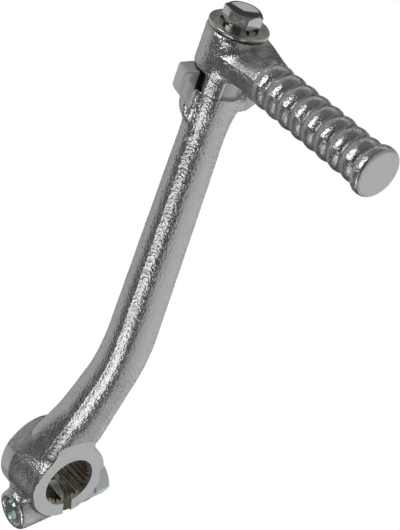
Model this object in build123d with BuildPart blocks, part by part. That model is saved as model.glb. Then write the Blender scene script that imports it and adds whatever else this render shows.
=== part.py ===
from build123d import *
import os
from math import asin, cos, degrees, radians, sin, sqrt, tan

os.makedirs("parts", exist_ok=True)

# Folding kick start lever for a splined starter shaft, in millimetres.
# +Z runs up the arm, the bore runs along Y, and outboard, where the pedal points, is -Y.
# The origin is the middle of the splined bore.

# Hub and its splined bore
spline_tip_diameter = 14.8
spline_root_diameter = 16.0
spline_teeth = 26
spline_tip_share = 0.44
spline_root_share = 0.26
bore_chamfer = 0.6
hub_diameter = 26.4
hub_length = 18.2
hub_edge_round = 0.7
flange_length = 5.0
flange_proud = 0.45
spot_face_diameter = 32.0

# Pinch clamp
slit_width = 3.1
slit_angle = 15.0
clamp_bolt_drop = 11.6
ear_diameter = 13.4
ear_axis_outboard = 0.85
ear_tapped_reach = 15.6
ear_head_reach = 11.7
ear_end_round = 1.2
ear_seat_chamfer = 0.3
ear_web_width = 9.0
ear_web_rise = 9.0
ear_web_inset = 0.4

# Arm
arm_offset = 13.6
arm_lean = 16.0
bend_radius = 75.0
bend_top_height = 62.0
arm_diameter_root = 18.4
arm_diameter_bend = 14.7
arm_diameter_top = 13.0
foot_width = 20.6
foot_depth = 15.0
foot_shift = 2.3
foot_height = 28.0
foot_top_diameter = 15.2

# Arm head: neck, stop lugs and the spigot that the pedal turns on
seat_height = 145.0
neck_height = 14.0
neck_straight = 3.0
neck_diameter = 14.6
spigot_diameter = 12.0
lug_radius = 13.1
lug_width = 6.1
lug_top = 5.7
lug_flank_drop = 1.5
lug_bottom_drop = 4.6
lug_bottom_radius = 9.6
lug_corner_round = 0.8
lug_relief_angle = 30.0
gusset_drop = 12.5
gusset_brow_drop = 8.5
gusset_foot_radius = 6.0
gusset_brow_radius = 8.9

# Pedal
boss_diameter = 17.9
boss_height = 19.0
boss_edge_round = 0.8
pedal_yaw = 1.5
use_stop_turn = 15.0
fold_stop_turn = 75.0
peg_axis_height = 11.7
peg_length = 63.8
root_width = 12.0
root_shift = 2.3
root_corner_round = 2.5
root_drop = 0.6
root_start = 2.0
root_straight = 5.0
root_reach = 20.0
root_tip_diameter = 12.0
root_tip_shift = 0.9
flank_width = 17.3
flank_height = 8.4
flank_corner_round = 3.4
flank_drop = 0.7
flank_reach = 17.5
flank_tip_diameter = 12.8
bead_count = 8
bead_start = 12.3
bead_gap = 3.1
bead_crest_diameter = 13.4
bead_valley_diameter = 11.2
peg_waist_diameter = 9.4
end_disc_diameter = 15.4
end_disc_length = 4.0
end_disc_round = 1.3

# Fasteners
pivot_bolt_diameter = 6.0
pivot_bolt_flats = 10.0
pivot_bolt_head = 4.0
pivot_bolt_turn = 5.0
pivot_bolt_length = 10.0
clamp_bolt_diameter = 8.0
clamp_bolt_flats = 12.0
clamp_bolt_head = 5.9
clamp_bolt_turn = 0.0
bolt_head_chamfer = 30.0
bolt_crown_share = 0.95
bolt_end_chamfer = 0.6
bolt_dish_depth = 0.5
bolt_dish_share = 0.84
bolt_bearing_height = 0.5
bolt_bearing_share = 0.92
tap_depth = 8.8
clamp_bolt_recess = 0.3
washer_diameter = 17.6
washer_thickness = 1.1
washer_edge_round = 0.35
lock_washer_diameter = 11.6
lock_washer_thickness = 0.7
lock_washer_teeth = 10
lock_tooth_depth = 1.3

# Detent that holds the pedal open or folded
ball_diameter = 3.2
ball_proud = 0.35
detent_height = 8.4
detent_angle = 180.0
detent_hole_wall = 2.4
spring_wire = 0.45
spring_diameter = 2.8
spring_turns = 6.0
dimple_depth = 0.5

# Clearances
turning_clearance = 0.05
thread_clearance = 0.05
bolt_hole_clearance = 0.3
axial_play = 0.3
stop_clearance = 0.3
lug_clearance = 0.5
detent_clearance = 0.3
ball_hole_clearance = 0.05

# Places that follow from the sizes above
hub_radius = hub_diameter / 2
half_hub = hub_length / 2
pivot_y = -arm_offset
pivot_axis = Axis((0, pivot_y, 0), (0, 0, 1))
boss_top = seat_height + boss_height
spigot_top = boss_top + axial_play
spigot_radius = spigot_diameter / 2
boss_radius = boss_diameter / 2
boss_bore_radius = spigot_radius + turning_clearance
notch_top = seat_height + lug_top + lug_clearance
pivot_tap_radius = pivot_bolt_diameter / 2 + thread_clearance
pivot_hole_radius = pivot_bolt_diameter / 2 + bolt_hole_clearance
clamp_tap_radius = clamp_bolt_diameter / 2 + thread_clearance
clamp_hole_radius = clamp_bolt_diameter / 2 + bolt_hole_clearance
ear_length = ear_tapped_reach + ear_head_reach

# The slit leaves the bore along slit_direction, and the clamp bolt crosses it along clamp_direction.
slit_direction = Vector(sin(radians(slit_angle)), 0, -cos(radians(slit_angle)))
clamp_direction = Vector(cos(radians(slit_angle)), 0, sin(radians(slit_angle)))
clamp_centre = slit_direction * clamp_bolt_drop - Vector(0, ear_axis_outboard, 0)
clamp_seat = Plane(
    origin=clamp_centre + clamp_direction * ear_head_reach, x_dir=(0, 1, 0), z_dir=clamp_direction
)

# The lower leg of the arm leans outboard from the hub and the bend brings it upright again.
lean = radians(arm_lean)
bend_centre_y = pivot_y + bend_radius
leg_top = Vector(0, bend_centre_y - bend_radius * cos(lean), bend_top_height - bend_radius * sin(lean))
leg_length = leg_top.Z / cos(lean)
leg_direction = Vector(0, -sin(lean), cos(lean))
leg_plane = Plane(origin=leg_top - leg_direction * leg_length, x_dir=(1, 0, 0), z_dir=leg_direction)
leg_taper = degrees((arm_diameter_root - arm_diameter_bend) / 2 / leg_length)
upper_length = seat_height - neck_height - bend_top_height
upper_taper = degrees((arm_diameter_bend - arm_diameter_top) / 2 / upper_length)


def plan_direction(angle):
    """Unit vector in plan, turned from outboard towards -X by an angle in degrees."""
    return Vector(-sin(radians(angle)), -cos(radians(angle)), 0)


def wedge_points(start, end, reach):
    """Plan corners of a wedge from the pivot that covers the angles from start to end."""
    corners = [plan_direction(angle) * reach for angle in (start, end)]
    return [(0, 0)] + [(corner.X, corner.Y) for corner in corners]


def groove_points():
    """Corners of one groove between two teeth of the bore, from just inside the tips to the roots."""
    pitch = 360 / spline_teeth
    mouth = radians(pitch * (1 - spline_tip_share) / 2)
    floor = radians(pitch * spline_root_share / 2)
    tip = spline_tip_diameter / 2
    root = spline_root_diameter / 2
    corners = [(tip, -mouth), (root, -floor), (root, floor), (tip, mouth)]
    return [(0, 0)] + [(radius * cos(angle), radius * sin(angle)) for radius, angle in corners]


def hex_bolt(seat, diameter, flats, head, turn, length):
    """Hexagon head bolt: the head stands on the seat plane and the shank goes down from it."""
    corner_radius = flats / 2 / cos(radians(30))
    crown_radius = flats / 2 * bolt_crown_share
    bearing_radius = flats / 2 * bolt_bearing_share
    dish_radius = flats / 2 * bolt_dish_share
    crown_drop = (corner_radius - crown_radius) * tan(radians(bolt_head_chamfer))
    head_side = Plane(origin=seat.origin, x_dir=seat.x_dir, z_dir=-seat.y_dir)
    with BuildPart() as bolt:
        with BuildSketch(seat):
            RegularPolygon(corner_radius, 6, rotation=turn)
        extrude(amount=head)
        with BuildSketch(head_side):
            with BuildLine():
                Polyline(
                    (0, 0),
                    (bearing_radius, 0),
                    (bearing_radius, bolt_bearing_height),
                    (corner_radius, bolt_bearing_height),
                    (corner_radius, head - crown_drop),
                    (crown_radius, head),
                    (dish_radius, head),
                    (0, head - bolt_dish_depth),
                    close=True,
                )
            make_face()
        revolve(axis=Axis(seat.origin, seat.z_dir), mode=Mode.INTERSECT)
        with BuildSketch(seat):
            Circle(diameter / 2)
        extrude(amount=-length)
        chamfer(bolt.faces().sort_by(Axis(seat.origin, seat.z_dir))[0].edges(), bolt_end_chamfer)
    return bolt.part


# Detent places: the hole starts behind the pivot axis and opens on the spigot's side
ball_radius = ball_diameter / 2
detent_hole_radius = ball_radius + ball_hole_clearance
detent_direction = plan_direction(detent_angle)
detent_centre = Vector(0, pivot_y, seat_height + detent_height)
detent_hole_end = detent_centre - detent_direction * (spigot_radius - detent_hole_wall)
detent_hole_depth = spigot_diameter - detent_hole_wall
ball_reach = spigot_radius + ball_proud - ball_radius

# Stop lugs: a ring with a sloped underside, cut down to two opposite blocks
lug_edge_angle = 90 - degrees(asin((stop_clearance + lug_width) / boss_radius))
with BuildPart() as stop_lugs:
    for side in (-1, 1):
        underside = [(lug_bottom_radius, seat_height - lug_bottom_drop)]
        if side < 0:
            underside.insert(0, (gusset_brow_radius, seat_height - gusset_brow_drop))
            underside.insert(0, (gusset_foot_radius, seat_height - gusset_drop))
        with BuildPart(mode=Mode.PRIVATE) as lug:
            with BuildSketch(Plane.XZ.offset(-pivot_y)):
                with BuildLine():
                    Polyline(
                        (0, underside[0][1]),
                        *underside,
                        (lug_radius, seat_height - lug_flank_drop),
                        (lug_radius, seat_height + lug_top),
                        (0, seat_height + lug_top),
                        close=True,
                    )
                make_face()
            revolve(axis=pivot_axis)
            with BuildSketch(Plane((0, pivot_y, seat_height - gusset_drop))):
                with Locations((side * lug_radius, -side * (stop_clearance + lug_width / 2))):
                    Rectangle(2 * lug_radius, lug_width)
            extrude(amount=gusset_drop + lug_top, mode=Mode.INTERSECT)
        add(lug.part)
    outer_corners = stop_lugs.edges().filter_by(Axis.Z).filter_by(
        lambda edge: (edge.center() - Vector(0, pivot_y, edge.center().Z)).length > boss_radius
    )
    fillet(outer_corners, lug_corner_round)

    # The back of each lug is cut radially as far out as the pedal's teeth sweep
    with BuildSketch(Plane((0, pivot_y, seat_height - lug_flank_drop))):
        for side in (0, 180):
            with BuildLine():
                Polyline(
                    wedge_points(side - lug_edge_angle, side + lug_relief_angle, 2 * lug_radius),
                    close=True,
                )
            make_face()
        Circle(boss_radius + stop_clearance, mode=Mode.INTERSECT)
    extrude(amount=lug_flank_drop + lug_top, mode=Mode.SUBTRACT)

# Ears: a barrel across the slit, rounded at its tapped end
with BuildPart() as ear_barrel:
    with BuildSketch(clamp_seat):
        Circle(ear_diameter / 2)
    extrude(amount=-ear_length)
    barrel_ends = ear_barrel.faces().sort_by(Axis(clamp_seat.origin, clamp_seat.z_dir))
    fillet(barrel_ends[0].edges(), ear_end_round)
    chamfer(barrel_ends[-1].edges(), ear_seat_chamfer)

# Web that fills the corner between the hub and the tapped ear
web_hub_drop = clamp_bolt_drop - ear_web_rise
web_hub_reach = sqrt((hub_radius - ear_web_inset) ** 2 - web_hub_drop**2)
with BuildPart() as ear_web:
    with BuildSketch(Plane(origin=clamp_centre, x_dir=clamp_direction, z_dir=(0, -1, 0))):
        with BuildLine():
            Polyline(
                (0, 0),
                (-ear_tapped_reach + ear_end_round, ear_diameter / 2 - ear_web_inset),
                (-web_hub_reach, ear_web_rise),
                (0, clamp_bolt_drop),
                close=True,
            )
        make_face()
    extrude(amount=ear_web_width / 2, both=True)

# Lever arm: hub, ears, bent arm, neck, lugs and spigot in one casting
with BuildPart() as lever_arm:
    # Hub with the flange on its inboard side
    with BuildSketch(Plane.XY):
        with BuildLine():
            Polyline(
                (0, -half_hub),
                (hub_radius, -half_hub),
                (hub_radius, half_hub - flange_length),
                (hub_radius + flange_proud, half_hub - flange_length + flange_proud),
                (hub_radius + flange_proud, half_hub),
                (0, half_hub),
                close=True,
            )
        make_face()
    revolve(axis=Axis.Y)
    hub_rims = lever_arm.edges().filter_by(GeomType.CIRCLE).sort_by(Axis.Y)
    fillet([hub_rims[0], hub_rims[-1]], hub_edge_round)

    # Lower leg, bend and upper leg
    with BuildSketch(leg_plane):
        Circle(arm_diameter_root / 2)
    extrude(amount=leg_length, taper=leg_taper)
    with BuildSketch(Plane(origin=leg_top, x_dir=(1, 0, 0), z_dir=leg_direction)):
        Circle(arm_diameter_bend / 2)
    revolve(axis=Axis((0, bend_centre_y, bend_top_height), (-1, 0, 0)), revolution_arc=arm_lean)
    with BuildSketch(Plane((0, pivot_y, bend_top_height))):
        Circle(arm_diameter_bend / 2)
    extrude(amount=upper_length, taper=upper_taper)

    # Foot that spreads the leg over the hub, on the tapped ear's side
    with BuildSketch(leg_plane):
        with Locations((-foot_shift, 0)):
            Ellipse(foot_width / 2, foot_depth / 2)
    with BuildSketch(leg_plane.offset(foot_height)):
        Circle(foot_top_diameter / 2)
    loft()

    add(ear_barrel.part)
    add(ear_web.part)

    # The leg's foot is trimmed flush inboard, and spot-faced round the bore outboard
    with BuildSketch(Plane.XZ.offset(-half_hub)):
        Rectangle(4 * hub_diameter, 2 * hub_diameter)
    extrude(amount=-hub_length, mode=Mode.SUBTRACT)
    with BuildSketch(Plane.XZ.offset(half_hub)):
        Circle(spot_face_diameter / 2)
    extrude(amount=hub_length, mode=Mode.SUBTRACT)

    # Neck that widens under the pedal, then the spigot
    with BuildSketch(Plane.XZ.offset(-pivot_y)):
        with BuildLine():
            foot = (arm_diameter_top / 2, seat_height - neck_height)
            shoulder = (neck_diameter / 2, seat_height - neck_straight)
            Polyline((0, foot[1]), foot)
            Spline(foot, shoulder, tangents=[(0, 1), (0, 1)])
            Polyline(
                shoulder,
                (neck_diameter / 2, seat_height),
                (spigot_radius, seat_height),
                (spigot_radius, spigot_top),
                (0, spigot_top),
                (0, foot[1]),
            )
        make_face()
    revolve(axis=pivot_axis)
    add(stop_lugs.part)

    # Tapped hole for the pivot bolt
    with BuildSketch(Plane((0, pivot_y, spigot_top))):
        Circle(pivot_tap_radius)
    extrude(amount=-tap_depth, mode=Mode.SUBTRACT)

    # Serrated bore with a lead chamfer at both ends
    with BuildSketch(Plane.XZ.offset(-half_hub)):
        Circle(spline_tip_diameter / 2)
        with BuildSketch(mode=Mode.PRIVATE) as groove:
            with BuildLine():
                Polyline(groove_points(), close=True)
            make_face()
        with PolarLocations(0, spline_teeth):
            add(groove.sketch)
    extrude(amount=hub_length, mode=Mode.SUBTRACT)
    lead_radius = spline_root_diameter / 2 + bore_chamfer
    lead_depth = lead_radius - spline_tip_diameter / 2
    for face_y, inward in ((-half_hub, 1), (half_hub, -1)):
        with BuildSketch(Plane.XY):
            with BuildLine():
                Polyline(
                    (0, face_y),
                    (lead_radius, face_y),
                    (lead_radius - lead_depth, face_y + inward * lead_depth),
                    (0, face_y + inward * lead_depth),
                    close=True,
                )
            make_face()
        revolve(axis=Axis.Y, mode=Mode.SUBTRACT)

    # Slit through the clamp side, and the clamp bolt's holes
    slit_reach = clamp_bolt_drop + ear_diameter
    with BuildSketch(Plane(origin=(0, half_hub + ear_diameter, 0), x_dir=clamp_direction, z_dir=(0, -1, 0))):
        with Locations((0, -slit_reach / 2)):
            Rectangle(slit_width, slit_reach)
    extrude(amount=hub_length + 2 * ear_diameter, mode=Mode.SUBTRACT)
    with BuildSketch(clamp_seat):
        Circle(clamp_hole_radius)
    extrude(amount=-ear_head_reach, mode=Mode.SUBTRACT)
    with BuildSketch(clamp_seat):
        Circle(clamp_tap_radius)
    extrude(amount=-ear_length, mode=Mode.SUBTRACT)

    # Blind cross hole in the spigot for the detent ball and its spring
    with BuildSketch(Plane(origin=detent_hole_end, x_dir=(0, 0, 1), z_dir=detent_direction)):
        Circle(detent_hole_radius)
    extrude(amount=detent_hole_depth, mode=Mode.SUBTRACT)
lever_arm.part.label = "lever_arm"
export_step(lever_arm.part, "parts/lever_arm.step")

# Pedal teeth, as angles at rest: each tooth meets one lug's face at the use stop and the
# other lug's back at the fold stop.
use_wall_angle = 90 - use_stop_turn
lug_back = stop_clearance + lug_width + stop_clearance
fold_wall_angle = degrees(asin(lug_back / boss_radius)) + fold_stop_turn - 90

# Folding pedal: boss with two teeth, flared root, beaded peg and end disc in one casting
peg_direction = plan_direction(-pedal_yaw)
peg_origin = Vector(0, pivot_y, seat_height + peg_axis_height)
peg_side = Plane(origin=peg_origin, x_dir=peg_direction, z_dir=peg_direction.cross(Vector(0, 0, 1)))
peg_line = Axis(peg_origin, peg_direction)
bead_pitch = (peg_length - end_disc_length - bead_gap - bead_start) / bead_count
bead_valley = bead_valley_diameter / 2
bead_crest = bead_crest_diameter / 2
peg_waist = peg_waist_diameter / 2
end_disc_radius = end_disc_diameter / 2
end_disc_start = peg_length - end_disc_length
root_bottom = notch_top - root_drop
root_height = boss_top - boss_edge_round - root_bottom
root_centre = peg_origin + Vector(root_shift, 0, root_bottom + root_height / 2 - peg_origin.Z)
root_foot = root_centre + peg_direction * root_start
root_shoulder = root_foot + peg_direction * root_straight
root_tip = peg_origin + peg_direction * root_reach + Vector(root_tip_shift, 0, 0)
flank_foot = peg_origin - Vector(0, 0, flank_drop) + peg_direction * root_start
flank_tip = peg_origin + peg_direction * flank_reach
with BuildPart() as folding_pedal:
    with BuildSketch(Plane((0, pivot_y, seat_height + axial_play))):
        Circle(boss_radius)
    extrude(amount=boss_height - axial_play)
    fillet(folding_pedal.faces().sort_by(Axis.Z)[-1].edges(), boss_edge_round)

    # Peg turned about its own axis: root, beads, end disc
    with BuildSketch(peg_side):
        with BuildLine():
            Polyline((0, 0), (0, peg_waist), (bead_start, peg_waist))
            for bead in range(bead_count):
                start = bead_start + bead * bead_pitch
                ThreePointArc(
                    (start, bead_valley if bead else peg_waist),
                    (start + bead_pitch / 2, bead_crest),
                    (start + bead_pitch, bead_valley),
                )
            Polyline(
                (end_disc_start - bead_gap, bead_valley),
                (end_disc_start, bead_valley),
                (end_disc_start, end_disc_radius),
                (peg_length, end_disc_radius),
                (peg_length, 0),
                (0, 0),
            )
        make_face()
    revolve(axis=peg_line)
    end_rims = folding_pedal.edges().filter_by(GeomType.CIRCLE).filter_by(
        lambda edge: abs(edge.radius - end_disc_radius) < end_disc_round / 10
    )
    fillet(end_rims, end_disc_round)

    # Root that leaves the boss at its full height and narrows to the peg
    with BuildSketch(Plane(origin=root_foot, x_dir=peg_side.z_dir, z_dir=peg_direction)):
        RectangleRounded(root_width, root_height, root_corner_round)
    extrude(amount=root_straight)
    with BuildSketch(Plane(origin=root_shoulder, x_dir=peg_side.z_dir, z_dir=peg_direction)):
        RectangleRounded(root_width, root_height, root_corner_round)
    with BuildSketch(Plane(origin=root_tip, x_dir=peg_side.z_dir, z_dir=peg_direction)):
        Circle(root_tip_diameter / 2)
    loft()

    # Flanks that run from the sides of the boss into the peg at the height of its axis
    with BuildSketch(Plane(origin=flank_foot, x_dir=peg_side.z_dir, z_dir=peg_direction)):
        RectangleRounded(flank_width, flank_height, flank_corner_round)
    with BuildSketch(Plane(origin=flank_tip, x_dir=peg_side.z_dir, z_dir=peg_direction)):
        Circle(flank_tip_diameter / 2)
    loft()

    # Room for the lugs below the boss, everywhere but at the two teeth
    with BuildSketch(Plane((0, pivot_y, seat_height - lug_bottom_drop))):
        Circle(lug_radius + lug_clearance)
        for side in (0, 180):
            with BuildLine():
                Polyline(
                    wedge_points(fold_wall_angle + side, use_wall_angle + side, 2 * lug_radius),
                    close=True,
                )
            make_face(mode=Mode.SUBTRACT)
    extrude(amount=notch_top - seat_height + lug_bottom_drop, mode=Mode.SUBTRACT)

    # Bore for the spigot, with the detent's groove and its two dimples
    with BuildSketch(Plane((0, pivot_y, seat_height))):
        Circle(boss_bore_radius)
    extrude(amount=boss_height, mode=Mode.SUBTRACT)
    with BuildSketch(Plane.XZ.offset(-pivot_y)):
        with Locations((ball_reach, seat_height + detent_height)):
            Circle(ball_radius + detent_clearance)
    revolve(axis=pivot_axis, mode=Mode.SUBTRACT)
    for stop_turn in (-use_stop_turn, fold_stop_turn):
        dimple = plan_direction(detent_angle + stop_turn) * (ball_reach + dimple_depth)
        with Locations(detent_centre + dimple):
            Sphere(ball_radius + detent_clearance, mode=Mode.SUBTRACT)
folding_pedal.part.label = "folding_pedal"
export_step(folding_pedal.part, "parts/folding_pedal.step")

# Retaining washer, clamped on the spigot so that the pedal stays free to turn
with BuildPart() as retaining_washer:
    with BuildSketch(Plane((0, pivot_y, spigot_top))):
        Circle(washer_diameter / 2)
        Circle(pivot_hole_radius, mode=Mode.SUBTRACT)
    extrude(amount=washer_thickness)
    outer_rims = retaining_washer.edges().filter_by(GeomType.CIRCLE).filter_by(
        lambda edge: edge.radius > pivot_bolt_diameter
    )
    fillet(outer_rims, washer_edge_round)
retaining_washer.part.label = "retaining_washer"
export_step(retaining_washer.part, "parts/retaining_washer.step")

# Toothed lock washer under the bolt head
with BuildPart() as lock_washer:
    with BuildSketch(Plane((0, pivot_y, spigot_top + washer_thickness))):
        Circle(lock_washer_diameter / 2)
        Circle(pivot_hole_radius, mode=Mode.SUBTRACT)
        with PolarLocations(lock_washer_diameter / 2, lock_washer_teeth):
            Rectangle(2 * lock_tooth_depth, lock_tooth_depth, mode=Mode.SUBTRACT)
    extrude(amount=lock_washer_thickness)
lock_washer.part.label = "lock_washer"
export_step(lock_washer.part, "parts/lock_washer.step")

# Pivot bolt and clamp bolt
head_height = spigot_top + washer_thickness + lock_washer_thickness
pivot_bolt = hex_bolt(
    Plane((0, pivot_y, head_height)),
    pivot_bolt_diameter,
    pivot_bolt_flats,
    pivot_bolt_head,
    pivot_bolt_turn,
    pivot_bolt_length,
)
pivot_bolt.label = "pivot_bolt"
export_step(pivot_bolt, "parts/pivot_bolt.step")

clamp_bolt = hex_bolt(
    clamp_seat,
    clamp_bolt_diameter,
    clamp_bolt_flats,
    clamp_bolt_head,
    clamp_bolt_turn,
    ear_length - clamp_bolt_recess,
)
clamp_bolt.label = "clamp_bolt"
export_step(clamp_bolt, "parts/clamp_bolt.step")

# Detent ball and spring
with BuildPart() as detent_ball:
    with Locations(detent_centre + detent_direction * ball_reach):
        Sphere(ball_radius)
detent_ball.part.label = "detent_ball"
export_step(detent_ball.part, "parts/detent_ball.step")

spring_room = (detent_centre + detent_direction * (ball_reach - ball_radius) - detent_hole_end).length
spring_height = spring_room - spring_wire - 2 * thread_clearance
spring_start = detent_hole_end + detent_direction * (spring_wire / 2 + thread_clearance)
with BuildPart() as detent_spring:
    with BuildLine() as coil:
        Helix(
            pitch=spring_height / spring_turns,
            height=spring_height,
            radius=(spring_diameter - spring_wire) / 2,
            center=spring_start,
            direction=detent_direction,
        )
    with BuildSketch(coil.line ^ 0):
        Circle(spring_wire / 2)
    sweep(path=coil.line, is_frenet=True)
detent_spring.part.label = "detent_spring"
export_step(detent_spring.part, "parts/detent_spring.step")
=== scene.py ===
"""Looks of the kick start lever: cast, plated skins over the CAD frame, in metres."""

import math

import bmesh
import bpy
import numpy as np
from mathutils import Matrix, Vector, noise


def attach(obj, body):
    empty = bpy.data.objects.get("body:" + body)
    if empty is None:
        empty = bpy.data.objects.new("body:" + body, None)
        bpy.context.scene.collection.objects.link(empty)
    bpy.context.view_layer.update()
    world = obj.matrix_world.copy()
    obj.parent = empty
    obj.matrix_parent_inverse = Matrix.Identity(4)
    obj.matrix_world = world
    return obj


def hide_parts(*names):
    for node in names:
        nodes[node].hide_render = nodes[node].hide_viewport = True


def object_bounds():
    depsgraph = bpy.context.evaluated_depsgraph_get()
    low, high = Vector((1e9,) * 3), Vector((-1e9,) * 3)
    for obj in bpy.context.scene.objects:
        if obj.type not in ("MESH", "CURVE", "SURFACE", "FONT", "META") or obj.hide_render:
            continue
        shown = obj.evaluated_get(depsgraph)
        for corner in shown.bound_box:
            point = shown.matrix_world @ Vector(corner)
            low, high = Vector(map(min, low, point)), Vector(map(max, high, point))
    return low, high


MM = 0.001
X, Y, Z = range(3)

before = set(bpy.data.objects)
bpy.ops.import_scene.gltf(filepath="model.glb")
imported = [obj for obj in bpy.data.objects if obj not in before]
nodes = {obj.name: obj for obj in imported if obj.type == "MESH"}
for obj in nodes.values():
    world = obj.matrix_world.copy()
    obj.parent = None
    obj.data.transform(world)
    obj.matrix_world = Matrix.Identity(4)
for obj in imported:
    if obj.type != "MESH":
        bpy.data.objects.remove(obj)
cad_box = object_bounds()
scene = bpy.context.scene
scene.view_settings.view_transform = "Standard"

# Sizes in millimetres, as the CAD has them: hub and serrated bore
half_hub = 9.1
hub_radius = 13.2
flange_start = 4.1
flange_radius = 13.65
spot_face_radius = 16.0
spline_tip_radius = 7.4
spline_root_radius = 8.0
spline_teeth = 26
spline_tip_share = 0.44
spline_root_share = 0.26
bore_lead = 0.6
slit_width = 3.1
slit_angle = 15.0

# Clamp ears and clamp bolt
clamp_drop = 11.6
ear_radius = 6.7
ear_outboard = 0.85
ear_tapped_reach = 15.6
ear_head_reach = 11.7
clamp_tap_radius = 4.05
clamp_hole_radius = 4.3
clamp_bolt_radius = 4.0
clamp_bolt_flats = 12.0
clamp_bolt_head = 5.9
clamp_bolt_recess = 0.3
clamp_thread_pitch = 1.25

# Arm, its head and the pedal's boss
arm_offset = 13.6
arm_lean = math.radians(16.0)
bend_radius = 75.0
bend_top_height = 62.0
arm_foot_y = 1.15
seat_height = 145.0
lug_top = 5.7
lug_bottom = 4.6
bore_radius = 6.05
boss_height = 19.0

# Peg, with its ridges where the photograph has them
peg_axis_height = 11.7
pedal_yaw = math.radians(1.5)
peg_length = 63.8
bead_count = 8
bead_start = 16.8
bead_end = 59.3
bead_crest = 6.8
bead_valley = 5.8

slit_turn = math.radians(slit_angle)
slit_way = Vector((math.sin(slit_turn), 0, -math.cos(slit_turn)))
clamp_way = Vector((math.cos(slit_turn), 0, math.sin(slit_turn)))
clamp_centre = slit_way * clamp_drop - Vector((0, ear_outboard, 0))
X_WAY = Vector((1, 0, 0))
Y_WAY = Vector((0, 1, 0))
CENTRE = Vector((0, 0, 0))


def new_object(name, data):
    """Links data into the scene as a new object."""
    item = bpy.data.objects.new(name, data)
    scene.collection.objects.link(item)
    return item


def stacked(name, rings):
    """Closed skin through rings of points (mm), capped at both ends."""
    mesh = bpy.data.meshes.new(name)
    work = bmesh.new()
    loops = [[work.verts.new(place * MM) for place in ring] for ring in rings]
    count = len(rings[0])
    for lower, upper in zip(loops, loops[1:]):
        for index in range(count):
            after = (index + 1) % count
            work.faces.new((lower[index], lower[after], upper[after], upper[index]))
    work.faces.new(list(reversed(loops[0])))
    work.faces.new(loops[-1])
    bmesh.ops.recalc_face_normals(work, faces=work.faces)
    work.to_mesh(mesh)
    work.free()
    return new_object(name, mesh)


def prism(name, outline, start, end, origin, side, way):
    """Outline in the plane of side and way x side, run from start to end along way."""
    other = way.cross(side)
    rings = []
    for along in (start, end):
        rings.append([origin + side * across + other * up + way * along for across, up in outline])
    return stacked(name, rings)


def spokes(way, count):
    """Unit vectors all round way."""
    side = way.orthogonal().normalized()
    other = way.cross(side)
    turns = [2 * math.pi * step / count for step in range(count)]
    return [side * math.cos(turn) + other * math.sin(turn) for turn in turns]


def lathe(name, profile, origin, way, sides=96):
    """Turned form about way, through (radius, along) points."""
    rim = spokes(way, sides)
    rings = [[origin + spoke * radius + way * along for spoke in rim] for radius, along in profile]
    return stacked(name, rings)


def rod(name, radius, start, end, origin, way):
    """Plain cylinder about way, from start to end."""
    return lathe(name, [(radius, start), (radius, end)], origin, way)


def thread(name, radius, depth, pitch, length, taper, origin, way, sides=40, steps_per_pitch=8):
    """Threaded shank from the origin against way, with a tapered end."""
    rim = spokes(way, sides)
    rings = []
    steps = int(length / pitch * steps_per_pitch)
    for step in range(steps + 1):
        down = length * step / steps
        ring = []
        for index, spoke in enumerate(rim):
            phase = (down / pitch - index / sides) % 1.0
            reach = radius - depth * abs(2 * phase - 1)
            reach = min(reach, radius - taper + (length - down))
            ring.append(origin + spoke * reach - way * down)
        rings.append(ring)
    return stacked(name, rings)


def box_outline(width, low, high):
    """Corners of a rectangle that is width wide and runs from low to high."""
    half = width / 2
    return [(-half, low), (half, low), (half, high), (-half, high)]


def spline_outline():
    """Corners of the serrated bore, tooth by tooth."""
    pitch = 2 * math.pi / spline_teeth
    flank = (1 - spline_tip_share - spline_root_share) / 2
    corners = []
    for tooth in range(spline_teeth):
        for share, radius in (
            (0, spline_tip_radius),
            (spline_tip_share, spline_tip_radius),
            (spline_tip_share + flank, spline_root_radius),
            (1 - flank, spline_root_radius),
        ):
            turn = (tooth + share) * pitch
            corners.append((radius * math.cos(turn), radius * math.sin(turn)))
    return corners


def evaluated(item):
    """The item's mesh with its modifiers applied, as a new mesh."""
    graph = bpy.context.evaluated_depsgraph_get()
    return bpy.data.meshes.new_from_object(item.evaluated_get(graph))


def apply_modifiers(item):
    """Puts the item's modifiers into its mesh."""
    item.data = evaluated(item)
    item.modifiers.clear()


def discard(*items):
    """Removes helper objects."""
    for item in items:
        bpy.data.objects.remove(item)


def combine(item, helpers, operation):
    """Cuts, joins or meets a form with helper forms, then removes the helpers."""
    for helper in helpers:
        step = item.modifiers.new(helper.name, "BOOLEAN")
        step.operation = operation
        step.solver = "MANIFOLD"
        step.object = helper
    apply_modifiers(item)
    discard(*helpers)


def round_edges(item, width):
    """Adds a bevel (mm) along the item's edges."""
    rounding = item.modifiers.new("edges", "BEVEL")
    rounding.width = width * MM
    rounding.segments = 3
    rounding.limit_method = "ANGLE"
    rounding.angle_limit = math.radians(25)


def vertex_values(mesh, attribute):
    """One vector of each vertex, as an array."""
    flat = np.zeros(len(mesh.vertices) * 3)
    mesh.vertices.foreach_get(attribute, flat)
    return flat.reshape(-1, 3)


def face_values(mesh, attribute):
    """One vector of each face, as an array."""
    flat = np.zeros(len(mesh.polygons) * 3)
    mesh.polygons.foreach_get(attribute, flat)
    return flat.reshape(-1, 3)


def set_coordinates(mesh, places):
    """Writes the vertices back."""
    mesh.vertices.foreach_set("co", places.reshape(-1))
    mesh.update()


def from_bore_axis(places):
    """Each place's distance from the axis of the serrated bore (mm)."""
    return np.hypot(places[:, X], places[:, Z])


def from_pivot_axis(places):
    """Each place's distance from the axis that the pedal turns on (mm)."""
    return np.hypot(places[:, X], places[:, Y] + arm_offset)


def along_clamp(places):
    """Each place's distance along the clamp bolt, from the middle of the slit (mm)."""
    return (places - np.array(clamp_centre)) @ np.array(clamp_way)


def bell(distance, width):
    """1 at no distance, falling off smoothly to 0 over about twice the width."""
    return np.exp(-((distance / width) ** 2))


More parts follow.
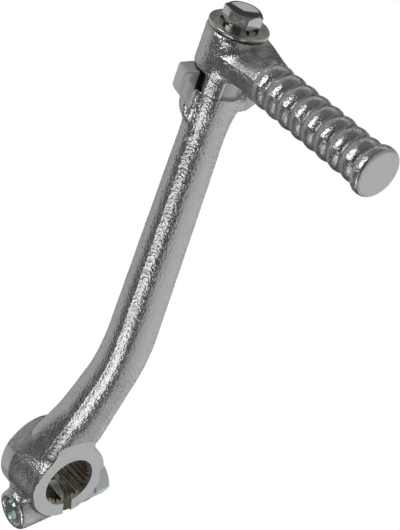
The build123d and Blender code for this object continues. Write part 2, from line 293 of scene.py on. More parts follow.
def neighbour_mean(mesh):
    """A function that gives each vertex the mean of its neighbours' values."""
    ends = np.zeros(len(mesh.edges) * 2, dtype=np.int64)
    mesh.edges.foreach_get("vertices", ends)
    first, second = ends.reshape(-1, 2).T
    count = len(mesh.vertices)
    degree = np.bincount(first, minlength=count) + np.bincount(second, minlength=count)

    def mean(values):
        onward = np.bincount(first, values[second], count)
        back = np.bincount(second, values[first], count)
        return (onward + back) / degree

    return mean


def relax(mesh, amount, steps):
    """Smooths the mesh: each vertex moves towards its neighbours' mean by its own amount."""
    mean = neighbour_mean(mesh)
    places = vertex_values(mesh, "co")
    for _ in range(steps):
        for axis in (X, Y, Z):
            places[:, axis] += (mean(places[:, axis]) - places[:, axis]) * amount
    set_coordinates(mesh, places)


def cast_grain(mesh, depth, seed, sharpening=0.2):
    """Fine grain of a cast skin: a height of each vertex (mm)."""
    heights = np.random.default_rng(seed).standard_normal(len(mesh.vertices))
    heights -= sharpening * neighbour_mean(mesh)(heights)
    return heights / heights.std() * depth


def cast_ripple(places, period, depth):
    """Uneven height of a sand-cast skin at each place (mm)."""
    return np.array([noise.noise(Vector(place) / period) for place in places]) * depth


def lift(mesh, height):
    """Moves each vertex along its normal by its height (mm), but not past the CAD box's low sides."""
    moved = vertex_values(mesh, "co") + vertex_values(mesh, "normal") * height[:, None] * MM
    set_coordinates(mesh, np.maximum(moved, np.array(cad_box[0])))


def voxel_skin(name, sources, voxel):
    """One closed mesh around all the source meshes, in cells of one voxel (mm)."""
    work = bmesh.new()
    for mesh in sources:
        work.from_mesh(mesh)
    joined = bpy.data.meshes.new(name + "_joined")
    work.to_mesh(joined)
    work.free()
    item = new_object(name, joined)
    remesh = item.modifiers.new("skin", "REMESH")
    remesh.mode = "VOXEL"
    remesh.voxel_size = voxel * MM
    skin = evaluated(item)
    discard(item)
    return skin


def arm_centre(height):
    """The arm's centre line: its Y at each height (mm)."""
    leg_top = bend_top_height - bend_radius * math.sin(arm_lean)
    bend_y = bend_radius - arm_offset
    on_leg = bend_y - bend_radius * math.cos(arm_lean) - (height - leg_top) * math.tan(arm_lean)
    below_bend = np.clip(height - bend_top_height, -bend_radius, 0)
    in_bend = bend_y - np.sqrt(bend_radius**2 - below_bend**2)
    return np.where(height < leg_top, on_leg, in_bend)


# Stock of the cast arm: the CAD's arm with room to machine it, and a fuller foot on the hub's left
machining_stock = 0.7
arm_voxel = 0.36
hub_profile = [
    (hub_radius, -half_hub - machining_stock),
    (flange_radius, flange_start),
    (flange_radius, half_hub + machining_stock),
]
leg_way = Vector((0, -math.sin(arm_lean), math.cos(arm_lean)))
leg_inboard = X_WAY.cross(-leg_way)
foot_steps = 96
foot_skew = 0.04
round_section = 2.0
foot_rings = []
for along, width, depth, shift, outboard, squareness in (
    (-3, 20.6, 15.5, 2.6, 0.6, 4.0),
    (6, 19.8, 15.8, 2.1, 0.6, 4.0),
    (14, 18.0, 15.8, 1.3, 0.4, 3.4),
    (28, 15.2, 15.2, 0, 0, round_section),
):
    centre = Vector((-shift, arm_foot_y, 0)) + leg_way * along - leg_inboard * outboard
    ring = []
    for step in range(foot_steps):
        turn = 2 * math.pi * step / foot_steps
        sideways = math.cos(turn)
        inward = math.sin(turn)
        power = round_section / squareness if sideways < 0 else 1.0
        sideways = math.copysign(abs(sideways) ** power, sideways) * width / 2
        inward = math.copysign(abs(inward) ** power, inward) * depth / 2
        if sideways < 0:
            sideways -= foot_skew * (squareness - round_section) * inward
        ring.append(centre + X_WAY * sideways + leg_inboard * inward)
    foot_rings.append(ring)
stock = [
    lathe("stock_hub", hub_profile, CENTRE, Y_WAY),
    rod("stock_ear", ear_radius, 0, ear_head_reach + machining_stock, clamp_centre, clamp_way),
    stacked("stock_foot", foot_rings),
]
arm_sources = [nodes["lever_arm"].data] + [item.data for item in stock]
arm_skin = voxel_skin("cast_arm", arm_sources, arm_voxel)
discard(*stock)

# Rounded edges of the arm: soft on the casting, crisp on the flange and lugs, none on the spigot
lug_inner_radius = 8.6
lug_zone_low = -lug_bottom - 0.5
lug_zone_high = lug_top + 1
spigot_zone_low = -0.6
hub_skin_depth = 1
flange_edge_start = flange_start + 1.3
flange_edge_top = 6
arm_softness = 0.5
flange_softness = 0.1
lug_softness = 0.04
arm_relax_steps = 45
places = vertex_values(arm_skin, "co") / MM
from_pivot = from_pivot_axis(places)
above_seat = places[:, Z] - seat_height
on_lugs = (above_seat > lug_zone_low) & (above_seat < lug_zone_high) & (from_pivot > lug_inner_radius)
on_spigot = (above_seat > spigot_zone_low) & ~on_lugs
on_flange = (places[:, Y] > flange_edge_start) & (places[:, Z] < flange_edge_top)
on_flange &= from_bore_axis(places) > hub_radius - hub_skin_depth
amount = np.full(len(places), arm_softness)
amount[on_flange] = flange_softness
amount[on_lugs] = lug_softness
amount[on_spigot] = 0.0
relax(arm_skin, amount, arm_relax_steps)

# Seam of the mould up the arm, and draft on the hub's flange
arm_seam_turn = math.radians(-74)
arm_seam_height = 0.1
arm_seam_width = 0.4
shank_radius = 7.0
shank_foot = 8
neck_height = 14
hub_draft = 0.06
draft_depth = 4
draft_fade = 2
draft_end_radius = 16
places = vertex_values(arm_skin, "co") / MM
on_casting = ~(on_lugs | on_spigot)
around = np.arctan2(places[:, X], arm_centre(places[:, Z]) - places[:, Y])
on_shank = on_casting & (places[:, Z] > shank_foot) & (above_seat < -neck_height)
arm_seam = arm_seam_height * bell(shank_radius * (around - arm_seam_turn), arm_seam_width) * on_shank
from_bore = from_bore_axis(places)
round_hub = np.clip((from_bore - hub_radius + draft_depth) / draft_fade, 0, 1)
round_hub *= np.clip((draft_end_radius - from_bore) / draft_fade, 0, 1)
past_parting = places[:, Y] - flange_start
draft = -hub_draft * np.maximum(past_parting, 0) * round_hub
narrowing = 1 + draft / np.maximum(from_bore, 1)
places[:, X] *= narrowing
places[:, Z] *= narrowing
set_coordinates(arm_skin, places * MM)

# Cast skin of the arm: calmer on the flange, coarser towards the head
calm_flange_start = 0.5
calm_flange_top = 12
calm_flange = 0.35
coarse_heights = (60, 125)
coarse_head = 1.5
arm_ripple_period = 5.0
arm_ripple_depth = 0.07
arm_grain_depth = 0.035
arm_grain_seed = 11
on_flange = (past_parting > calm_flange_start) & (from_bore > hub_radius - hub_skin_depth)
coarse = np.where(on_flange & (places[:, Z] < calm_flange_top), calm_flange, 1.0)
coarse *= np.interp(places[:, Z], coarse_heights, (1.0, coarse_head))
relief = cast_ripple(places, arm_ripple_period, arm_ripple_depth)
relief += cast_grain(arm_skin, arm_grain_depth, arm_grain_seed) * coarse
lift(arm_skin, arm_seam + relief * on_casting)
cast_arm = new_object("cast_arm", arm_skin)

# Machining of the arm: faces, serrated bore, slit and clamp holes
far = 40.0
cut_past = 1
lead_radius = spline_root_radius + bore_lead
lead_inside = spline_tip_radius - cut_past
lead_depth = lead_radius - lead_inside
outer_lead = [(lead_radius + cut_past, -half_hub - cut_past), (lead_inside, -half_hub + lead_depth)]
inner_lead = [(lead_inside, half_hub - lead_depth), (lead_radius + cut_past, half_hub + cut_past)]
# Steps of the spot face's edge: how far past its radius, and how far off the hub's face
spot_face_steps = ((2.6, 2.2), (1.5, 1.3), (1.2, 0.8), (0.3, 0.4), (0.0, 0.1), (-0.5, 0.0))
spot_face = [(spot_face_radius + spot_face_steps[0][0], -far)]
for past_radius, off_face in spot_face_steps:
    spot_face.append((spot_face_radius + past_radius, -half_hub - off_face))
spot_face_sides = 160
ear_seat_radius = 14.0
sink_radius = clamp_tap_radius + 0.4
sink_inside = clamp_tap_radius - 0.5
sink_depth = 1.4
clamp_sink = [
    (sink_radius + cut_past, -ear_tapped_reach - cut_past),
    (sink_inside, -ear_tapped_reach + sink_depth),
]
combine(
    cast_arm,
    [
        lathe("face_outboard", spot_face, CENTRE, Y_WAY, spot_face_sides),
        rod("face_inboard", far, half_hub, far, CENTRE, Y_WAY),
        prism("serrations", spline_outline(), -far, far, CENTRE, X_WAY, Y_WAY),
        lathe("lead_outboard", outer_lead, CENTRE, Y_WAY),
        lathe("lead_inboard", inner_lead, CENTRE, Y_WAY),
        prism("slit", box_outline(slit_width, -far, 0), -far, far, CENTRE, clamp_way, -Y_WAY),
        rod("ear_seat", ear_seat_radius, ear_head_reach, far, clamp_centre, clamp_way),
        rod("clamp_hole", clamp_hole_radius, 0, far, clamp_centre, clamp_way),
        rod("clamp_tap", clamp_tap_radius, -far, cut_past, clamp_centre, clamp_way),
        lathe("clamp_sink", clamp_sink, clamp_centre, clamp_way),
    ],
    "DIFFERENCE",
)

# Stock of the cast pedal: the CAD's pedal, with the ridges of its peg turned anew
pedal_voxel = 0.3
peg_way = Vector((math.sin(pedal_yaw), -math.cos(pedal_yaw), 0))
peg_origin = Vector((0, -arm_offset, seat_height + peg_axis_height))
bead_steps = 16
bead_pitch = (bead_end - bead_start) / bead_count
bead_depth = bead_crest - bead_valley
bead_radius = (bead_pitch**2 / 4 + bead_depth**2) / (2 * bead_depth)
peg_into_root = 4
peg_into_disc = 1
peg_profile = [(bead_valley, bead_start - peg_into_root)]
for step in range(bead_count * bead_steps + 1):
    from_crest = (step / bead_steps % 1 - 0.5) * bead_pitch
    sag = bead_radius - math.sqrt(bead_radius**2 - from_crest**2)
    peg_profile.append((bead_crest - sag, bead_start + step / bead_steps * bead_pitch))
peg_profile.append((bead_valley, bead_end + peg_into_disc))
peg_room_radius = 9.5
peg_room_start = bead_start + 0.4
peg_room_end = bead_end + 0.3
pedal_solid = voxel_skin("pedal_stock", [nodes["folding_pedal"].data], pedal_voxel)
pedal_stock = new_object("pedal_stock", pedal_solid)
peg_room = rod("peg_room", peg_room_radius, peg_room_start, peg_room_end, peg_origin, peg_way)
combine(pedal_stock, [peg_room], "DIFFERENCE")
peg = lathe("peg", peg_profile, peg_origin, peg_way)
pedal_skin = voxel_skin("cast_pedal", [pedal_stock.data, peg.data], pedal_voxel)
discard(pedal_stock, peg)

# Rounded edges of the pedal: soft at the root, crisp on the ridges, teeth and top, none in the bore
bore_zone_radius = 7.0
teeth_zone_top = 7.0
top_zone_depth = 1.5
root_softness = 0.5
bead_softness = 0.04
teeth_softness = 0.06
top_softness = 0.05
pedal_relax_steps = 120
places = vertex_values(pedal_skin, "co") / MM
outboard = -arm_offset - places[:, Y]
above_seat = places[:, Z] - seat_height
on_casting = from_pivot_axis(places) >= bore_zone_radius
amount = np.full(len(places), root_softness)
amount[outboard > bead_start] = bead_softness
amount[above_seat < teeth_zone_top] = teeth_softness
amount[above_seat > boss_height - top_zone_depth] = top_softness
amount[~on_casting] = 0.0
relax(pedal_skin, amount, pedal_relax_steps)

# Seam of the mould on the pedal's left side, and its cast skin, calmer on the end face
pedal_seam_rise = 13.2
pedal_seam_height = 0.08
pedal_seam_width = 0.35
pedal_seam_right = 2
pedal_seam_end = 60
calm_end_depth = 0.6
calm_end = 0.3
pedal_ripple_period = 4.0
pedal_ripple_depth = 0.05
pedal_grain_depth = 0.037
pedal_grain_seed = 12
places = vertex_values(pedal_skin, "co") / MM
pedal_seam = pedal_seam_height * bell(places[:, Z] - seat_height - pedal_seam_rise, pedal_seam_width)
pedal_seam *= on_casting & (places[:, X] < pedal_seam_right) & (outboard < pedal_seam_end)
coarse = np.where(outboard > peg_length - calm_end_depth, calm_end, 1.0)
relief = cast_ripple(places, pedal_ripple_period, pedal_ripple_depth)
relief += cast_grain(pedal_skin, pedal_grain_depth, pedal_grain_seed) * coarse
lift(pedal_skin, pedal_seam + relief * on_casting)
cast_pedal = new_object("cast_pedal", pedal_skin)

# Clamp bolt: hexagon head and threaded shank with a dished end
clamp_seat = clamp_centre + clamp_way * ear_head_reach
half_flats = clamp_bolt_flats / 2
corner = half_flats / math.cos(math.radians(30))
hexagon_turns = [math.radians(60 * side) for side in range(6)]
hexagon = [(corner * math.cos(turn), corner * math.sin(turn)) for turn in hexagon_turns]
bolt = prism("threaded_bolt", hexagon, 0, clamp_bolt_head, clamp_seat, Y_WAY, clamp_way)
crown_radius = half_flats * 0.95
crown_slope = math.tan(math.radians(30))
collar_radius = half_flats * 0.92
collar_height = 0.5
form_radius = corner + 0.3
head_form = [
    (collar_radius, -collar_height),
    (collar_radius, collar_height),
    (form_radius, collar_height),
    (form_radius, clamp_bolt_head - (form_radius - crown_radius) * crown_slope),
    (crown_radius, clamp_bolt_head),
]
combine(bolt, [lathe("head_form", head_form, clamp_seat, clamp_way)], "INTERSECT")
bolt_edge_round = 0.25
round_edges(bolt, bolt_edge_round)
apply_modifiers(bolt)
thread_depth = 0.7
thread_taper = 1.1
shank_in_head = 1
shank_start = clamp_seat + clamp_way * shank_in_head
shank_length = ear_head_reach + ear_tapped_reach - clamp_bolt_recess + shank_in_head
shank = thread(
    "thread",
    clamp_bolt_radius,
    thread_depth,
    clamp_thread_pitch,
    shank_length,
    thread_taper,
    shank_start,
    clamp_way,
)
combine(bolt, [shank], "UNION")
bolt_end = clamp_bolt_recess - ear_tapped_reach
dish_mouth_radius = 3.0
dish_mouth_past = 0.3
dish_rim_radius = 2.75
dish_floor_radius = 0.4
dish_depth = 0.8
end_dish = [
    (dish_mouth_radius, bolt_end - dish_mouth_past),
    (dish_rim_radius, bolt_end),
    (dish_floor_radius, bolt_end + dish_depth),
]
combine(bolt, [lathe("end_dish", end_dish, clamp_centre, clamp_way)], "DIFFERENCE")

sharp_edge = math.radians(38)
for item, body, node, slot in (
    (cast_arm, "lever", "lever_arm", "plated_casting"),
    (cast_pedal, "pedal", "folding_pedal", "plated_pedal"),
    (bolt, "lever", "clamp_bolt", "clamp_steel"),
):
    item.data.polygons.foreach_set("use_smooth", [True] * len(item.data.polygons))
    item.data.set_sharp_from_angle(angle=sharp_edge)
    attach(item, body)
    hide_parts(node)

for node, width in (("pivot_bolt", 0.3), ("lock_washer", 0.08)):
    round_edges(nodes[node], width)


def principled(name, colour, metallic, roughness):
    """A new material with its Principled shader set up."""
    material = bpy.data.materials.new(name)
    material.use_nodes = True
    shader = material.node_tree.nodes["Principled BSDF"]
    shader.inputs["Base Color"].default_value = (*colour, 1)
    shader.inputs["Metallic"].default_value = metallic
    shader.inputs["Roughness"].default_value = roughness
    return material, material.node_tree, shader


def grain(tree, scale, detail=2.0):
    """Noise in the object's own metres."""
    place = tree.nodes.new("ShaderNodeTexCoord")
    texture = tree.nodes.new("ShaderNodeTexNoise")
    texture.inputs["Scale"].default_value = scale
    texture.inputs["Detail"].default_value = detail
    tree.links.new(place.outputs["Object"], texture.inputs["Vector"])
    return texture.outputs["Fac"]


def turning_marks(tree, period):
    """Concentric marks about the bore, one in each period (m)."""
    place = tree.nodes.new("ShaderNodeTexCoord")
    texture = tree.nodes.new("ShaderNodeTexWave")
    texture.wave_type = "RINGS"
    texture.rings_direction = "Y"
    texture.inputs["Scale"].default_value = math.pi / 10 / period
    texture.inputs["Distortion"].default_value = 1.5
    tree.links.new(place.outputs["Object"], texture.inputs["Vector"])
    return texture.outputs["Fac"]


def spread(tree, value, low, high):
    """Maps the middle of a noise to a range."""
    ranged = tree.nodes.new("ShaderNodeMapRange")
    ranged.inputs["From Min"].default_value = 0.3
    ranged.inputs["From Max"].default_value = 0.7
    ranged.inputs["To Min"].default_value = low
    ranged.inputs["To Max"].default_value = high
    tree.links.new(value, ranged.inputs["Value"])
    return ranged.outputs["Result"]


def mottle(tree, shader, scale, low, high):
    """Varies the shader's roughness between low and high by a noise."""
    tree.links.new(spread(tree, grain(tree, scale), low, high), shader.inputs["Roughness"])


def bump(tree, shader, layers):
    """Roughens the shader's normal by heights, each with its own depth (m)."""
    before = None
    for height, depth in layers:
        layer = tree.nodes.new("ShaderNodeBump")
        layer.inputs["Strength"].default_value = 1.0
        layer.inputs["Distance"].default_value = depth
        tree.links.new(height, layer.inputs["Height"])
        if before:
            tree.links.new(before.outputs["Normal"], layer.inputs["Normal"])
        before = layer
    tree.links.new(before.outputs["Normal"], shader.inputs["Normal"])


def shade(tree, value, first, second, shader):
    """Colours the shader between two colours by a value from 0 to 1."""
    mix = tree.nodes.new("ShaderNodeMix")
    mix.data_type = "RGBA"
    mix.inputs["A"].default_value = (*first, 1)
    mix.inputs["B"].default_value = (*second, 1)
    tree.links.new(value, mix.inputs["Factor"])
    tree.links.new(mix.outputs["Result"], shader.inputs["Base Color"])


# Plating of the castings: painted darker (painted shade) and made rougher by the meshes'
# shade_and_dullness attribute
bright_cast = (0.66, 0.665, 0.665)
painted_shade_cast = (0.3, 0.3, 0.305)
dull_roughening = 0.2
plating, tree, shader = principled("cast_plating", bright_cast, 1.0, 0.15)
shade_and_dull_share = tree.nodes.new("ShaderNodeAttribute")
shade_and_dull_share.attribute_name = "shade_and_dullness"
shade(tree, shade_and_dull_share.outputs["Fac"], bright_cast, painted_shade_cast, shader)
dull_roughness = tree.nodes.new("ShaderNodeMath")
dull_roughness.operation = "MULTIPLY_ADD"
dull_roughness.inputs[1].default_value = dull_roughening
tree.links.new(shade_and_dull_share.outputs["Fac"], dull_roughness.inputs[0])
tree.links.new(spread(tree, grain(tree, 420), 0.15, 0.26), dull_roughness.inputs[2])
tree.links.new(dull_roughness.outputs[0], shader.inputs["Roughness"])
bump(tree, shader, [(grain(tree, 1500), 0.00014)])

smooth_plating, tree, shader = principled("smooth_plating", (0.74, 0.765, 0.755), 0.35, 0.3)
mottle(tree, shader, 500, 0.2, 0.3)
bump(tree, shader, [(grain(tree, 1300), 0.00003)])

turned, tree, shader = principled("turned_plating", (0.68, 0.69, 0.695), 1.0, 0.3)
mottle(tree, shader, 700, 0.26, 0.36)
bump(tree, shader, [(turning_marks(tree, 0.0004), 0.000008), (grain(tree, 1500), 0.000012)])

oily, tree, shader = principled("oily_bore", (0.33, 0.29, 0.23), 1.0, 0.3)
stains = spread(tree, grain(tree, 260, detail=3.0), 0, 1)
shade(tree, stains, (0.27, 0.225, 0.17), (0.6, 0.56, 0.5), shader)
mottle(tree, shader, 600, 0.14, 0.34)

zinc, tree, shader = principled("zinc", (0.92, 0.98, 0.97), 0.4, 0.26)
mottle(tree, shader, 900, 0.18, 0.32)
bump(tree, shader, [(grain(tree, 1800), 0.00001)])

zinc_end, tree, shader = principled("zinc_end", (0.58, 0.72, 0.73), 1.0, 0.16)
bump(tree, shader, [(grain(tree, 700), 0.00004)])

bright, tree, shader = principled("bright_plating", (0.7, 0.705, 0.705), 1.0, 0.07)
mottle(tree, shader, 500, 0.05, 0.12)
bump(tree, shader, [(grain(tree, 420, detail=1.0), 0.00003)])

passivated, tree, shader = principled("passivated", (0.69, 0.685, 0.63), 1.0, 0.22)
mottle(tree, shader, 500, 0.16, 0.3)
bump(tree, shader, [(grain(tree, 900), 0.000012)])

# Near-black painted shade, for the slot beside the pedal's tooth and the left side of the pedal's bore
shade_black, tree, shader = principled("shade_black", (0.03, 0.027, 0.022), 0.0, 0.35)
mottle(tree, shader, 400, 0.25, 0.5)

spring_steel, tree, shader = principled("spring_steel", (0.4, 0.4, 0.39), 1.0, 0.3)
mottle(tree, shader, 700, 0.22, 0.4)

for item, materials in (
    (cast_arm, (plating, smooth_plating, turned, oily, shade_black)),
    (cast_pedal, (plating, shade_black)),
    (bolt, (zinc, zinc_end)),
    (nodes["pivot_bolt"], (bright,)),
    (nodes["lock_washer"], (spring_steel,)),
    (nodes["retaining_washer"], (passivated,)),
    (nodes["detent_ball"], (spring_steel,)),
    (nodes["detent_spring"], (spring_steel,)),
):
    item.data.materials.clear()
    for material in materials:
        item.data.materials.append(material)


def set_finish(item, finish):
    """Gives each face of the item the material with its number."""
    item.data.polygons.foreach_set("material_index", finish.astype(np.int32))
    item.data.update()


# Finish of each face of the arm, by its place: the last line that fits a face counts
SKIN, SMOOTH, TURNED, OILY, SHADE_BLACK = range(5)
on_surface = 0.05
facing = 0.95
shade_black_right = -3.5
spigot_finish_low = -0.2
flange_finish_start = flange_start + 0.4
flange_finish_radius = hub_radius - 0.4
flange_finish_top = 4
spot_edge_middle = 1
spot_edge_half = 1.6
spot_edge_end = 0.03 - half_hub
spot_edge_facing = -0.15
oily_half = half_hub - 0.02
middle = face_values(cast_arm.data, "center") / MM
normal = face_values(cast_arm.data, "normal")
from_bore = from_bore_axis(middle)
from_pivot = from_pivot_axis(middle)
above_seat = middle[:, Z] - seat_height
finish = np.full(len(middle), SKIN)
finish[(above_seat > lug_zone_low) & (from_pivot > lug_inner_radius)] = SMOOTH
on_spigot = (above_seat > spigot_finish_low) & (from_pivot < lug_inner_radius)
finish[on_spigot] = SMOOTH
# Painted shade: the spigot's left side, in the slot beside the pedal's tooth, is made near black
finish[on_spigot & (middle[:, X] < shade_black_right)] = SHADE_BLACK
on_flange = (middle[:, Y] > flange_finish_start) & (from_bore > flange_finish_radius)
finish[on_flange & (middle[:, Z] < flange_finish_top)] = SMOOTH
on_hub_face = np.abs(np.abs(middle[:, Y]) - half_hub) < on_surface
finish[on_hub_face & (np.abs(normal[:, Y]) > facing)] = TURNED
on_spot_edge = np.abs(from_bore - spot_face_radius - spot_edge_middle) < spot_edge_half
on_spot_edge &= (middle[:, Y] < spot_edge_end) & (middle[:, Z] > 0)
outward = (normal[:, X] * middle[:, X] + normal[:, Z] * middle[:, Z]) / from_bore
finish[on_spot_edge & (outward < spot_edge_facing)] = TURNED
finish[np.abs(along_clamp(middle) - ear_head_reach) < on_surface] = TURNED
finish[(from_bore < lead_radius + on_surface) & (np.abs(middle[:, Y]) < oily_half)] = OILY
in_slit = np.abs(np.abs(middle @ np.array(clamp_way)) - slit_width / 2) < on_surface
finish[in_slit & (np.abs(normal @ np.array(clamp_way)) > facing)] = OILY
set_finish(cast_arm, finish)

# Painted shade of the arm, with duller plating: its colour is darkened and its roughness raised in the
# recess beside its foot, on the hub and along the hub's crease
recess_centre = np.array((-7, -7, 13))
recess_radius = 6.5
recess_shade_and_dullness = 0.3
hub_reach = 3
hub_shade_and_dullness = 0.25
crease_width = 3.0
crease_foot = -6
crease_shade_and_dullness = 0.5
places = vertex_values(cast_arm.data, "co") / MM
from_recess = np.linalg.norm(places - recess_centre, axis=1)
near_hub = from_bore_axis(places) < hub_radius + hub_reach
on_hub = hub_shade_and_dullness * (near_hub & (places[:, Y] < flange_start))
crease = crease_shade_and_dullness * bell(places[:, Y] - flange_start, crease_width)
crease *= near_hub & (places[:, Z] > crease_foot)
arm_shade_and_dullness = np.clip(recess_shade_and_dullness * bell(from_recess, recess_radius) + on_hub + crease, 0, 1)

# Painted shade of the pedal, with duller plating: its colour is darkened and its roughness raised
# between the ridges, on the peg's underside and at its root
valley_crest = bead_crest - 0.25
valley_rate = 1.4
valley_shade_and_dullness = 0.8
valley_past = 0.5
underside_top = 1.5
underside_fade = 4
underside_shade_and_dullness = 0.5
root_start = 7
root_past = 1
root_fade = 2
root_shade_and_dullness = 0.75
places = vertex_values(cast_pedal.data, "co") / MM - np.array(peg_origin)
along_peg = places @ np.array(peg_way)
from_axis = np.linalg.norm(places - along_peg[:, None] * np.array(peg_way), axis=1)
past_start = along_peg > bead_start
valleys = valley_shade_and_dullness * np.clip((valley_crest - from_axis) / bead_depth * valley_rate, 0, 1)
valleys *= past_start & (along_peg < bead_end + valley_past)
underside = np.clip((underside_top - places[:, Z]) / underside_fade, 0, underside_shade_and_dullness)
underside *= past_start & (along_peg < bead_end)
on_root = root_shade_and_dullness * np.clip((along_peg - root_start) / root_fade, 0, 1)
on_root *= np.clip((bead_start + root_past - along_peg) / root_fade, 0, 1)
pedal_shade_and_dullness = np.maximum(valleys, np.maximum(underside, on_root))
# Painted shade and duller plating of each vertex, stored for the plating to read
for item, shade_and_dullness in ((cast_arm, arm_shade_and_dullness), (cast_pedal, pedal_shade_and_dullness)):
    item.data.attributes.new("shade_and_dullness", "FLOAT", "POINT").data.foreach_set("value", shade_and_dullness)

# Painted shade: near black inside the pedal's bore, on its left side
bore_grease_radius = bore_radius + 0.2
middle = face_values(cast_pedal.data, "center") / MM
set_finish(cast_pedal, (from_pivot_axis(middle) < bore_grease_radius) & (middle[:, X] < shade_black_right))

# Darker zinc on the screw's end
dark_end = bolt_end + 1.2
set_finish(bolt, along_clamp(face_values(bolt.data, "center") / MM) < dark_end)

# Camera at the photograph's angle
photo_height = 530
focal_pixels = 2519
azimuth = math.radians(-47.88)
elevation = math.radians(29.26)
roll = math.radians(19.71)
distance = 782.21
across = 45.71
rise = 61.98
level_reach = math.cos(elevation)
forward = Vector(
    (-math.sin(azimuth) * level_reach, math.cos(azimuth) * level_reach, -math.sin(elevation))
)
level_right = forward.cross(Vector((0, 0, 1))).normalized()
level_up = level_right.cross(forward)
right = level_right * math.cos(roll) + level_up * math.sin(roll)
up = level_up * math.cos(roll) - level_right * math.sin(roll)
eye = (right * across + up * rise - forward * distance) * MM
camera_data = bpy.data.cameras.new("camera")
camera_data.sensor_fit = "VERTICAL"
camera_data.sensor_height = 36
camera_data.lens = focal_pixels / photo_height * camera_data.sensor_height
camera = new_object("camera", camera_data)
camera_turn = Matrix((right, up, -forward)).transposed().to_4x4()
camera.matrix_world = Matrix.Translation(eye) @ camera_turn
scene.camera = camera


def seen_directly(tree):
    """1 for camera, glossy and transmission rays, and 0 for the rest."""
    path = tree.nodes.new("ShaderNodeLightPath")
    seen = path.outputs["Is Camera Ray"]
    for kind in ("Is Glossy Ray", "Is Transmission Ray"):
        either = tree.nodes.new("ShaderNodeMath")
        either.operation = "MAXIMUM"
        tree.links.new(seen, either.inputs[0])
        tree.links.new(path.outputs[kind], either.inputs[1])
        seen = either.outputs[0]
    return seen


# World: white where it is seen, half as strong as a light
world = bpy.data.worlds.new("studio")
scene.world = world
world.use_nodes = True
tree = world.node_tree
background = tree.nodes["Background"]
background.inputs["Color"].default_value = (1, 1, 1, 1)
level = tree.nodes.new("ShaderNodeMapRange")
level.inputs["To Min"].default_value = 0.5
level.inputs["To Max"].default_value = 1.0
tree.links.new(seen_directly(tree), level.inputs["Value"])
tree.links.new(level.outputs["Result"], background.inputs["Strength"])


def level_square(half, height):
    """Corners of a level square about the middle of the studio (m)."""
    return [(half * x, half * y, height) for x, y in ((-1, -1), (1, -1), (1, 1), (-1, 1))]


# Pale floor, far below the lever
floor_drop = 1.6
floor_half = 6.0
floor_mesh = bpy.data.meshes.new("floor")
floor_mesh.from_pydata(level_square(floor_half, -floor_drop), [], [(0, 1, 2, 3)])
floor = new_object("floor", floor_mesh)
floor_material, tree, shader = principled("floor", (0.9, 0.9, 0.9), 0.0, 0.9)
glow = tree.nodes.new("ShaderNodeEmission")
mix = tree.nodes.new("ShaderNodeMixShader")
tree.links.new(seen_directly(tree), mix.inputs[0])
tree.links.new(shader.outputs[0], mix.inputs[1])
tree.links.new(glow.outputs[0], mix.inputs[2])
tree.links.new(mix.outputs[0], tree.nodes["Material Output"].inputs["Surface"])
floor_mesh.materials.append(floor_material)

# Studio round the lever (m), which lights it and shows in its plating
wall_low = -1.5
wall_middle = 0.15
wall_high = 1.9
wall_radius = 1.3
card_radius = 1.25
strip_radius = 1.2
strip_top = -0.4
strip_foot = -1.15
soft_box_foot = 0.22
soft_box_top = 1.5
back_card_foot = 0.22
back_card_top = 0.8
deck_gap = 0.02
wall_step = 3
toward_camera = Vector((-forward.x, -forward.y, 0)).normalized()
toward_right = Vector((level_right.x, level_right.y, 0)).normalized()


def studio_point(angle, radius, height):
    """Place at an angle (degrees) from the camera's side, positive to the right."""
    turn = math.radians(angle)
    way = (toward_camera * math.cos(turn) + toward_right * math.sin(turn)) * radius
    return (way.x, way.y, height)


def studio_panel(name, points, faces, strength):
    """Evenly glowing panel that lights the object and shows in its plating, but not to the camera."""
    mesh = bpy.data.meshes.new(name)
    mesh.from_pydata(points, [], faces)
    panel = new_object(name, mesh)
    material, tree, shader = principled(name, (0.02, 0.02, 0.02), 0.0, 1.0)
    shader.inputs["Emission Color"].default_value = (1, 1, 1, 1)
    shader.inputs["Emission Strength"].default_value = strength
    mesh.materials.append(material)
    panel.visible_camera = False


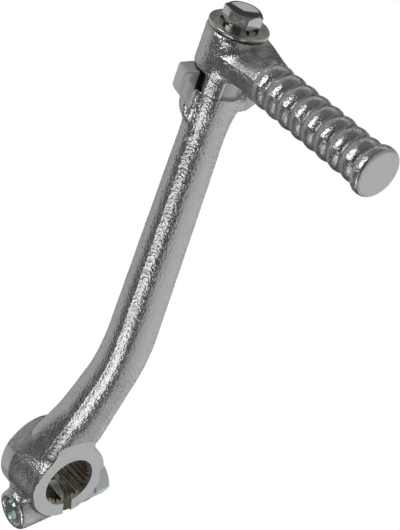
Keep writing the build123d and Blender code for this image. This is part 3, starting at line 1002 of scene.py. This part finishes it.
def studio_wall(name, start, end, low, high, radius, strength):
    """Curved wall round the object, between two angles and two heights."""
    steps = max(2, int(abs(end - start) / wall_step))
    points = []
    for step in range(steps + 1):
        angle = start + (end - start) * step / steps
        points.append(studio_point(angle, radius, low))
        points.append(studio_point(angle, radius, high))
    faces = [(2 * i, 2 * i + 2, 2 * i + 3, 2 * i + 1) for i in range(steps)]
    studio_panel(name, points, faces, strength)


def studio_deck(name, height, strength):
    """Level panel over the whole studio."""
    studio_panel(name, level_square(wall_radius, height), [(0, 1, 2, 3)], strength)


def studio_floor(name, start, end, reach, strength):
    """Level panel at the foot of the walls, between two angles and from reach to the strip's radius."""
    corners = ((start, reach), (end, reach), (end, strip_radius), (start, strip_radius))
    points = [studio_point(angle, radius, wall_low) for angle, radius in corners]
    studio_panel(name, points, [(0, 1, 2, 3)], strength)


studio_wall("right_wall_near", 22, 50, wall_low, wall_middle, wall_radius, 0.42)
studio_wall("right_wall_mid", 50, 78, wall_low, wall_middle, wall_radius, 0.54)
studio_wall("right_wall_low", 78, 180, wall_low, wall_middle, wall_radius, 0.59)
studio_wall("right_wall_high", 22, 150, wall_middle, wall_high, wall_radius, 0.34)
studio_wall("back_wall_high", 150, 210, wall_middle, wall_high, wall_radius, 0.5)
studio_wall("left_wall_low", -180, -106, wall_low, wall_middle, wall_radius, 0.45)
studio_wall("left_wall_near", -106, -84, wall_low, wall_middle, wall_radius, 0.44)
studio_wall("left_wall_high", -150, -91, wall_middle, wall_high, wall_radius, 0.34)
studio_wall("dark_left", -84, -10, wall_low, wall_middle, card_radius, 0.08)
studio_wall("dark_left_high", -91, -10, wall_middle, wall_high, card_radius, 0.07)
studio_wall("dark_front", -10, 22, wall_low, wall_high, card_radius, 0.05)
studio_wall("dark_back", 150, 215, back_card_foot, back_card_top, card_radius, 0.04)
studio_wall("strip_light", -40, -10, strip_foot, strip_top, strip_radius, 1.5)
studio_wall("strip_light_low", -40, -12, wall_low, strip_foot, strip_radius, 1.15)
studio_wall("soft_box", -72, -46, soft_box_foot, soft_box_top, strip_radius, 2.4)
studio_deck("ceiling", wall_high + deck_gap, 0.14)
studio_deck("dark_deck", wall_low - deck_gap, 0.1)
studio_floor("strip_floor", -39, -13, 0.75, 3.0)
studio_floor("right_floor", 45, 90, 0.4, 0.5)
studio_floor("far_right_floor", 90, 135, 0.4, 0.55)
